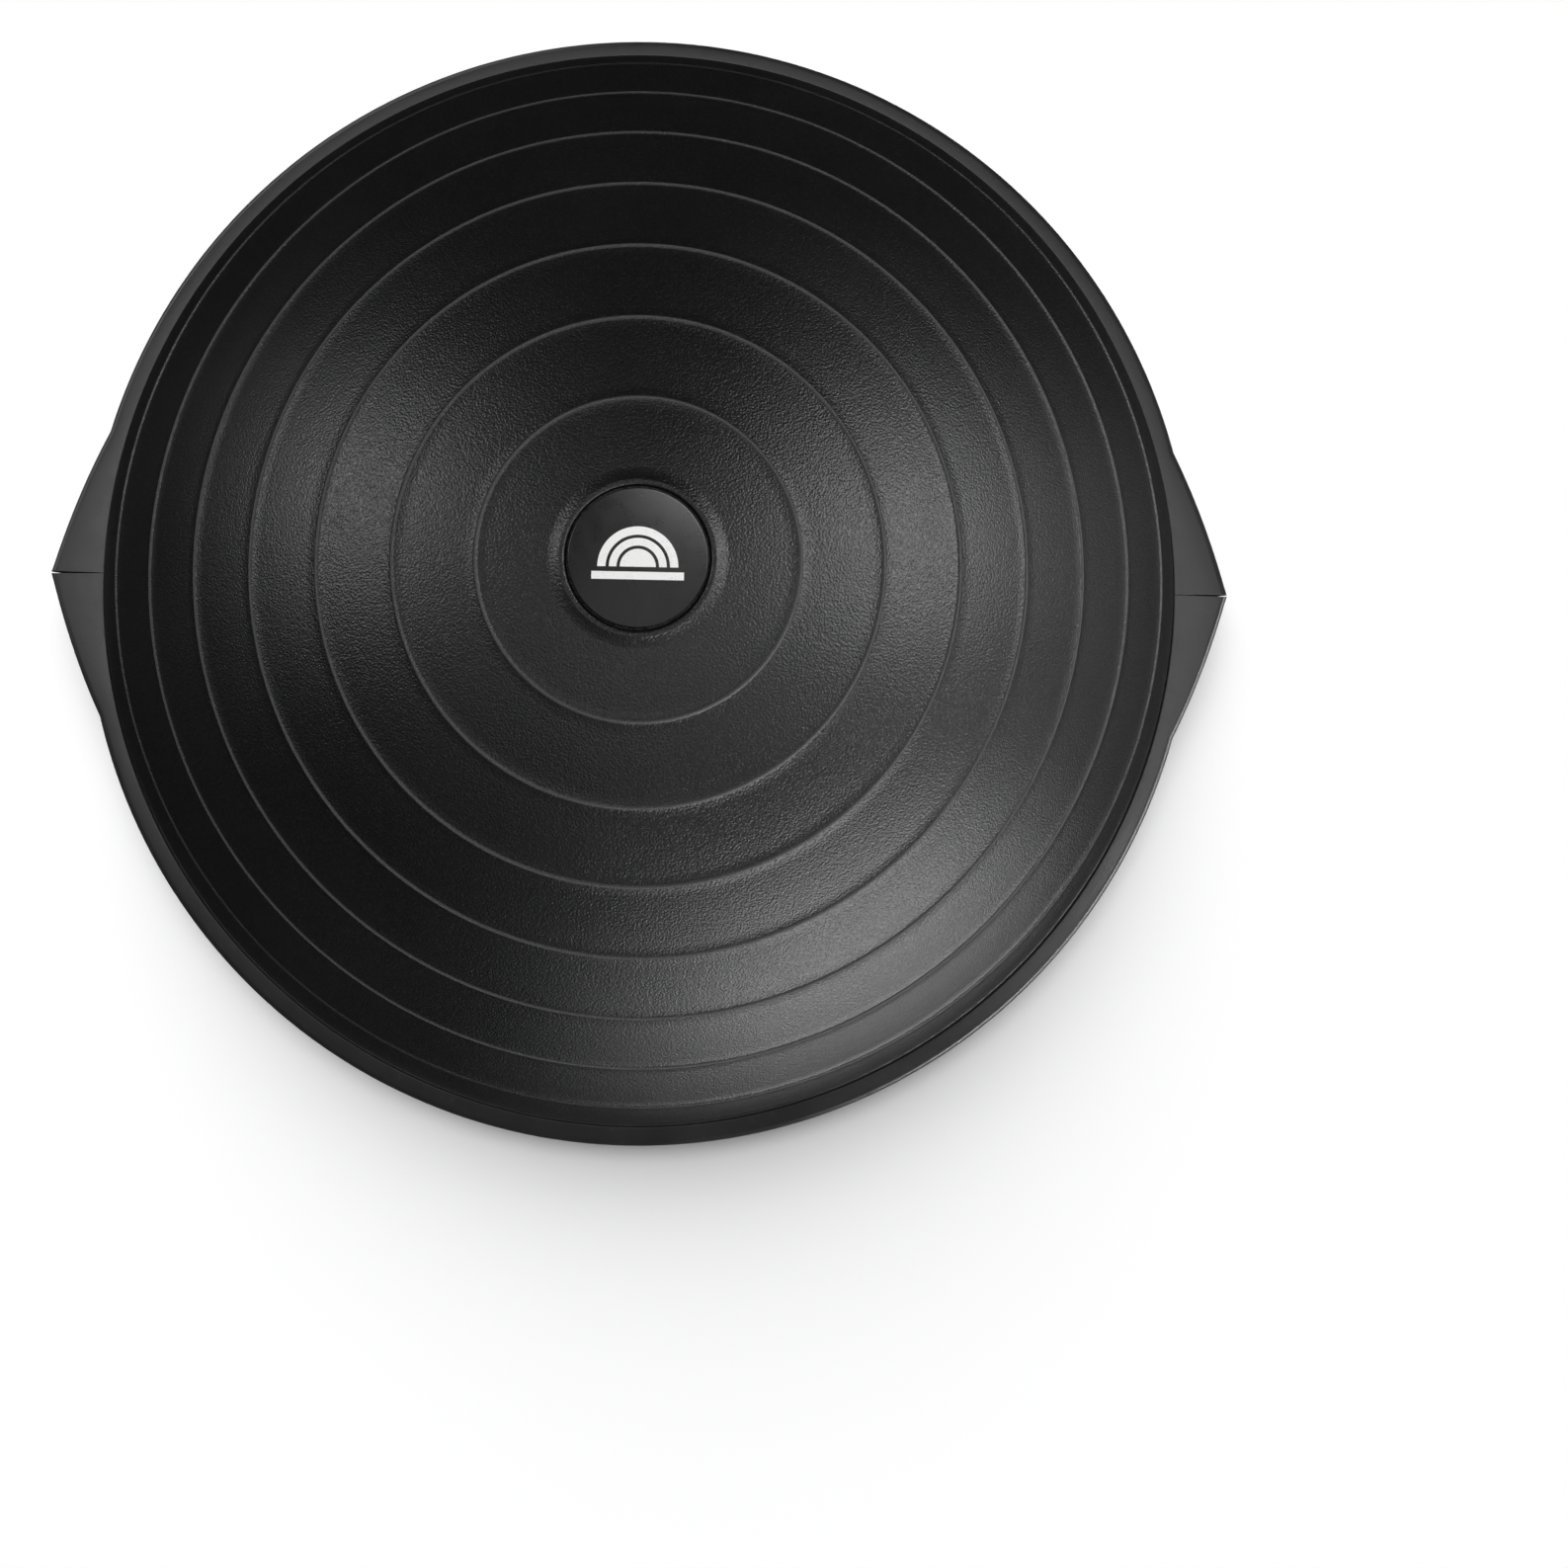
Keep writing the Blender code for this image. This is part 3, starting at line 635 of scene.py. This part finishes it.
def make_rim_half(name, turn):
    half = half_body(name)
    first_pad = 0 if turn == 0 else PAD_COUNT // 2
    pads = range(first_pad, first_pad + PAD_COUNT // 2)
    tools = [make(side) for side in (1, -1) for make in (recess, well, bolt_hole)]
    tools += [pad_pocket(index, turn) for index in pads]
    combine(half, tools, "DIFFERENCE")
    half.data.transform(Matrix.Rotation(turn, 4, "Z"))
    return half


# Platform, mat, valve and pads


def make_platform():
    outline = [(0.0093, 0.0080), (0.026, 0.0080), (0.026, 0.0150), (0.032, 0.0150), (0.032, 0.0080)]
    outline += [(0.158, 0.0080), (0.158, 0.0150), (0.163, 0.0150), (0.163, 0.0080), (0.292, 0.0080)]
    outline += [(0.292, 0.0157), (0.3164, 0.0157), (0.3164, 0.0057), (0.2954, 0.0057), (0.2954, 0.0016)]
    outline += [(0.288, 0.0016), (0.288, 0.0042), (0.0093, 0.0042)]
    outline = rounded(outline, 0.0005, closed=True, steps=3)
    platform = lathe("platform_disc", outline, 240, closed=True)
    ribs, rib_count = bmesh.new(), 12
    rib = Matrix.Translation((0.162, 0, 0.01025)) @ Matrix.Diagonal((0.266, 0.004, 0.0085, 1))
    for index in range(rib_count):
        turn = Matrix.Rotation(math.tau * (index + 0.5) / rib_count, 4, "Z")
        bmesh.ops.create_cube(ribs, size=1, matrix=turn @ rib)
    combine(platform, [object_from(ribs, "rib_tool")], "UNION")
    return platform


def make_mat():
    outline = [(0.016, 0.0039), (0.2874, 0.0039), (0.2874, 0.0020)]
    for middle in (0.250, 0.190, 0.130, 0.070):
        outline += [(middle + 0.002, 0.0020), (middle + 0.001, 0.0012)]
        outline += [(middle - 0.001, 0.0012), (middle - 0.002, 0.0020)]
    outline += [(0.016, 0.0020)]
    return lathe("tread_mat", rounded(outline, 0.0004, closed=True, steps=3), 240, closed=True)


def make_valve():
    outline = [(0.0049, 0.0104), (0.0120, 0.0104), (0.0120, 0.0083), (0.0089, 0.0083), (0.0089, 0.0039)]
    outline += [(0.0140, 0.0039), (0.0140, 0.0025), (0.0049, 0.0025)]
    return lathe("valve_grommet", rounded(outline, 0.0004, closed=True), 96, closed=True)


def make_plug():
    outline = [(0, 0.0100), (0.0036, 0.0100), (0.0045, 0.0085), (0.0045, 0.0050), (0.0042, 0.0046)]
    outline += [(0.0045, 0.0042), (0.0045, 0.0022), (0.0100, 0.0022), (0.0100, 0.0009), (0.0064, 0.0009)]
    outline += [(0.0058, 0.0013), (0, 0.0013)]
    return lathe("air_plug", rounded(outline, 0.0004), 96)


def make_pad(index):
    place = pad_place(index) @ Matrix.Translation((0, 0, PAD_SIZE[2] / 2))
    return rounded_box(f"rubber_pad_{index + 1}", PAD_SIZE, PAD_CORNER, 0.0004, place)


# Clamps, built along their own +Z and laid along Y


def threaded_rod(low, high):
    """An M6 thread: its crest winds round once for each millimetre of length."""
    radius, pitch, depth, segments = 0.003, 0.001, 0.00055, 40
    bm = bmesh.new()
    rows = round((high - low) / (pitch / 8))
    grid = []
    for row in range(rows + 1):
        height = low + (high - low) * row / rows
        ring = []
        for index in range(segments):
            phase = (height / pitch - index / segments) % 1
            reach = radius - depth * abs(2 * phase - 1)
            reach = min(reach, 0.0022 + (height - low))
            angle = math.tau * index / segments
            ring.append(bm.verts.new((reach * math.cos(angle), reach * math.sin(angle), height)))
        grid.append(ring)
    for lower, upper in zip(grid, grid[1:]):
        for index in range(segments):
            after = (index + 1) % segments
            bm.faces.new((lower[index], lower[after], upper[after], upper[index]))
    bm.faces.new(grid[0])
    bm.faces.new(grid[-1])
    return object_from(bm, "thread_tool")


def hexagon(name, low, high, turn):
    """A hexagon with its points turned off at the upper end."""
    bm = bmesh.new()
    place = Matrix.Translation((0, 0, (low + high) / 2)) @ Matrix.Rotation(turn, 4, "Z")
    sides = {"segments": 6, "radius1": HEX_RADIUS, "radius2": HEX_RADIUS}
    bmesh.ops.create_cone(bm, cap_ends=True, depth=high - low, matrix=place, **sides)
    made = object_from(bm, name)
    past = 0.001
    wide = HEX_RADIUS + past
    points = [(0, high), (HEX_FLAT_RADIUS, high), (wide, high - HEX_CHAMFER)]
    points += [(wide, low - past), (0, low - past)]
    combine(made, [lathe("chamfer_tool", points, 72)], "INTERSECT")
    return made


def washer(name, low):
    inner, outer, high = WASHER_HOLE_RADIUS, 0.0062, low + WASHER_THICKNESS
    outline = [(inner, high), (outer, high), (outer, low), (inner, low)]
    return lathe(name, rounded(outline, 0.0003, closed=True), 72, closed=True)


def make_bolt(name):
    seat = END_WALL + WASHER_THICKNESS + 2 * GAP
    bolt = hexagon(name, seat, seat + 0.0042, math.radians(9))
    combine(bolt, [threaded_rod(-0.0175, seat + 0.001)], "UNION")
    return bolt


def make_nut(name):
    seat = -(END_WALL + WASHER_THICKNESS + 2 * GAP)
    low = seat - 0.0050
    nut = hexagon(name, low, seat, math.radians(-14))
    collar = [(0, low + 0.001), (0.0046, low + 0.001), (0.0046, seat - 0.0064), (0, seat - 0.0064)]
    combine(nut, [lathe("collar_tool", rounded(collar, 0.0006), 72)], "UNION")
    high, deep = seat + 0.01, seat - 0.02
    bore = [(0, high), (NUT_BORE_RADIUS, high), (NUT_BORE_RADIUS, deep), (0, deep)]
    combine(nut, [lathe("bore_tool", bore, 72)], "DIFFERENCE")
    return nut


def make_clamp(side, turn, surface):
    place = Matrix.Translation((math.cos(turn) * CLAMP_RADIUS, 0, CLAMP_HEIGHT))
    place @= Matrix.Rotation(turn, 4, "Z") @ Matrix.Rotation(-math.pi / 2, 4, "X")
    made = {
        f"clamp_bolt_{side}": make_bolt(f"bolt_{side}"),
        f"head_washer_{side}": washer(f"washer_head_{side}", END_WALL + GAP),
        f"nut_washer_{side}": washer(f"washer_nut_{side}", -(END_WALL + GAP + WASHER_THICKNESS)),
        f"lock_nut_{side}": make_nut(f"nut_{side}"),
    }
    for node, piece in made.items():
        piece.data.transform(place)
        place_piece(piece, surface, "zinc_steel", "base", node)


# Stage


def aim(obj, target):
    obj.rotation_mode = "QUATERNION"
    obj.rotation_quaternion = (Vector(target) - obj.location).to_track_quat("-Z", "Y")


def add_softbox(name, azimuth, elevation, away, size, power, receivers):
    """A soft box, power in watts, that faces the dome from a direction given in degrees."""
    light = bpy.data.lights.new(name, "AREA")
    light.shape = "RECTANGLE"
    light.size, light.size_y = size
    light.energy = power
    obj = bpy.data.objects.new(name, light)
    turn, rise = math.radians(azimuth), math.radians(elevation)
    flat = math.cos(rise)
    obj.location = Vector((flat * math.cos(turn), flat * math.sin(turn), math.sin(rise))) * away
    obj.location.z += DOME_MIDDLE
    obj.visible_camera = False
    obj.light_linking.receiver_collection = receivers
    bpy.context.scene.collection.objects.link(obj)
    aim(obj, (0, 0, DOME_MIDDLE))


def plain_material(name, colour, emission=0.0):
    """A matt paint or, with an emission strength, a black surface that only glows in that colour."""
    paint, gloss = ((0, 0, 0), 0.0) if emission else (colour, 0.1)
    made = Surface(name, paint, 0.9, specular=gloss)
    shade = made.blend(made.noise(3, 2), colour, tuple(0.985 * c for c in colour))
    made.join(shade, made.shader.inputs["Emission Color" if emission else "Base Color"])
    made.shader.inputs["Emission Strength"].default_value = emission
    return made.material


def make_stage(rim_halves, badge):
    """A pale floor and backdrop, lit on their own, and soft boxes for the trainer."""
    angles = [math.tau * index / 96 for index in range(96)]
    foot = (STAGE_RADIUS, FLOOR)
    floor = object_from(turned_mesh([(0, FLOOR), foot], angles), "floor")
    rises = [math.radians(rise) for rise in range(6, 90, 6)]
    wall = [(STAGE_RADIUS * math.cos(rise), STAGE_RADIUS * math.sin(rise)) for rise in rises]
    backdrop = object_from(turned_mesh([foot, *wall, (0, STAGE_RADIUS)], angles), "backdrop")
    floor.data.materials.append(plain_material("floor_paint", (0.90, 0.90, 0.90)))
    backdrop.data.materials.append(plain_material("backdrop_paint", (0.98, 0.98, 0.98), 1.1))
    backdrop.visible_diffuse = backdrop.visible_glossy = backdrop.visible_shadow = False
    floor.visible_glossy = False
    finish_mesh(backdrop)

    floor_only = bpy.data.collections.new("floor_only")
    floor_only.objects.link(floor)
    rim_only = bpy.data.collections.new("rim_only")
    hard_only = bpy.data.collections.new("rim_and_badge")
    badge_only = bpy.data.collections.new("badge_only")
    badge_only.objects.link(badge)
    for half in rim_halves:
        rim_only.objects.link(half)
    for obj in (*rim_halves, badge):
        hard_only.objects.link(obj)
    soft_only = bpy.data.collections.new("all_but_rim")
    for obj in (floor, backdrop, *rim_halves):
        soft_only.objects.link(obj)
    for entry in soft_only.collection_objects:
        entry.light_linking.link_state = "EXCLUDE"

    sun = bpy.data.objects.new("floor_sun", bpy.data.lights.new("floor_sun", "SUN"))
    sun.data.energy = 4.5
    sun.data.angle = math.radians(60)
    sun.location = (-0.3, 1.6, 2.0)
    sun.light_linking.receiver_collection = floor_only
    bpy.context.scene.collection.objects.link(sun)
    aim(sun, (0, 0, 0))
    add_softbox("key", -55, 10, 2.2, (1.9, 1.1), 24, soft_only)
    add_softbox("right", 12, 42, 1.8, (1.0, 1.0), 11.5, soft_only)
    add_softbox("left", 162, 38, 1.8, (0.7, 0.7), 5.8, soft_only)
    add_softbox("low_right", 2, 1, 2.2, (1.6, 0.3), 1.6, soft_only)
    add_softbox("low_front", -84, 5, 2.2, (1.0, 0.4), 2.2, soft_only)
    add_softbox("top", -90, 80, 2.5, (1.4, 1.4), 4.5, soft_only)
    add_softbox("rim_top", 90, 64, 2.2, (1.6, 0.8), 10, rim_only)
    add_softbox("rim_left", 170, 64, 2.2, (0.9, 0.9), 10, rim_only)
    add_softbox("rim_right", 10, 64, 2.2, (0.9, 0.9), 8, rim_only)
    add_softbox("rim_scoop", -25, 52, 2.0, (0.4, 0.4), 5, rim_only)
    add_softbox("rim_behind", 141, 14, 2.2, (4.0, 0.8), 26, hard_only)
    add_softbox("badge_top", 60, 60, 1.8, (0.8, 0.8), 15, badge_only)
    add_softbox("rim_edge", -32, 3, 2.0, (2.4, 0.2), 42, rim_only)

    world = bpy.data.worlds.new("room")
    world.use_nodes = True
    world.node_tree.nodes["Background"].inputs["Color"].default_value = (0.012, 0.012, 0.0125, 1)
    bpy.context.scene.world = world


def make_camera():
    data = bpy.data.cameras.new("camera")
    data.sensor_width = 36
    data.lens = 26.2
    data.shift_x = 0.0893  # the photograph frames the trainer up and to the left
    data.shift_y = -0.1062
    data.clip_start = 0.01
    camera = bpy.data.objects.new("camera", data)
    camera.location = (0.0030, -0.0435, 0.7001)
    camera.rotation_euler = [math.radians(a) for a in (2.065, -0.057, 1.159)]
    bpy.context.scene.collection.objects.link(camera)
    bpy.context.scene.camera = camera


dome_black = dome_surface()
rim_grey = moulded_surface("rim_plastic", (0.019, 0.019, 0.0195), (0.024, 0.024, 0.025), 0.37, 1400)
platform_black = moulded_surface(
    "platform_plastic", (0.026, 0.026, 0.028), (0.032, 0.032, 0.034), 0.50, 900
)
plug_black = moulded_surface(
    "plug_plastic", (0.030, 0.030, 0.031), (0.038, 0.038, 0.040), 0.42, 1800, 0.0002
)
mat_black = rubber_surface("mat_rubber", 0.020, 0.78, 420, 0.0005)
pad_black = rubber_surface("pad_rubber", 0.017, 0.72, 700, 0.0003)
grommet_black = rubber_surface("valve_rubber", 0.022, 0.60, 1500, 0.0001)
plated_steel = steel_surface()

dome_skin = place_piece(make_dome(), dome_black, "dome_pvc", "base", "dome_bladder", sharp=60)
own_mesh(dome_skin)
badge_disc = place_piece(make_badge(), badge_surface(), "badge", "dome", "crown_badge")
rim_back = make_rim_half("rim_back", 0)
place_piece(rim_back, rim_grey, "rim_plastic", "base", "rim_half_back")
rim_front = make_rim_half("rim_front", math.pi)
place_piece(rim_front, rim_grey, "rim_plastic", "base", "rim_half_front")
place_piece(make_platform(), platform_black, "platform_plastic", "base", "platform")
place_piece(make_mat(), mat_black, "mat_rubber", "base", "deck_mat")
place_piece(make_valve(), grommet_black, "valve_rubber", "base", "valve_seat")
place_piece(make_plug(), plug_black, "plug_plastic", "plug", "valve_plug")
for pad_index in range(PAD_COUNT):
    place_piece(make_pad(pad_index), pad_black, "pad_rubber", "base", f"foot_pad_{pad_index + 1}")
make_clamp("right", 0, plated_steel)
make_clamp("left", math.pi, plated_steel)

make_stage((rim_back, rim_front), badge_disc)
make_camera()
bpy.context.scene.view_settings.view_transform = "Standard"
